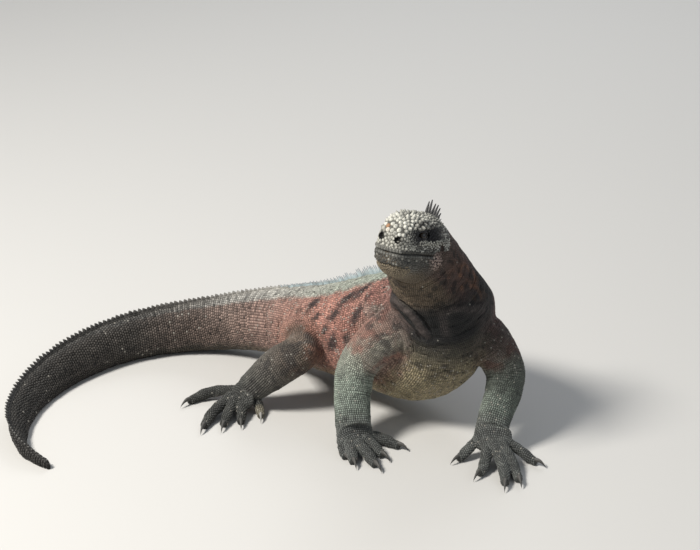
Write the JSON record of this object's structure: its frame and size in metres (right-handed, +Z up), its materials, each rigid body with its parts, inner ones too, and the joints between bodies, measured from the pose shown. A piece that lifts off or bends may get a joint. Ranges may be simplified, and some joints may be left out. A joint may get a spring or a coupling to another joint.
{
  "type": "marine iguana model",
  "caption": "Life-size still model of a marine iguana standing on spread hands with its chest and head raised and its long tail curved round to its right.",
  "frame": {"origin": "centre of the model's bounding box, on the floor it stands on", "axes": "+Z up; +X along the model's longest extent, from the bend of the tail to the left hand; +Y away from the side that the snout faces"},
  "size_m": [0.618, 0.469, 0.2952],
  "materials": {
    "head_skin": "rough, dry horny scales, whitish grey",
    "neck_skin": "dry scaly skin, rusty brown to black",
    "trunk_skin": "dry scaly skin, brick red blotched with black",
    "tail_skin": "dry keeled scales, charcoal",
    "arm_skin": "dry scaly skin, pale grey-green",
    "hand_skin": "dry scaly skin and dull horn claws, dark grey",
    "thigh_skin": "dry scaly skin, red-brown",
    "eye_surface": "polished, near black"
  },
  "bodies": {
    "root": {"eye_left": "eye_surface", "eye_right": "eye_surface", "head": "head_skin", "left_foot": "hand_skin", "left_forearm": "arm_skin", "left_hand": "hand_skin", "left_shank": "tail_skin", "left_thigh": "thigh_skin", "left_upper_arm": "arm_skin", "neck": "neck_skin", "right_foot": "hand_skin", "right_forearm": "arm_skin", "right_hand": "hand_skin", "right_shank": "tail_skin", "right_thigh": "thigh_skin", "right_upper_arm": "arm_skin", "tail_middle": "tail_skin", "tail_rear": "tail_skin", "tail_root": "tail_skin", "tail_tip": "tail_skin", "torso": "trunk_skin"}
  },
  "joints": []
}
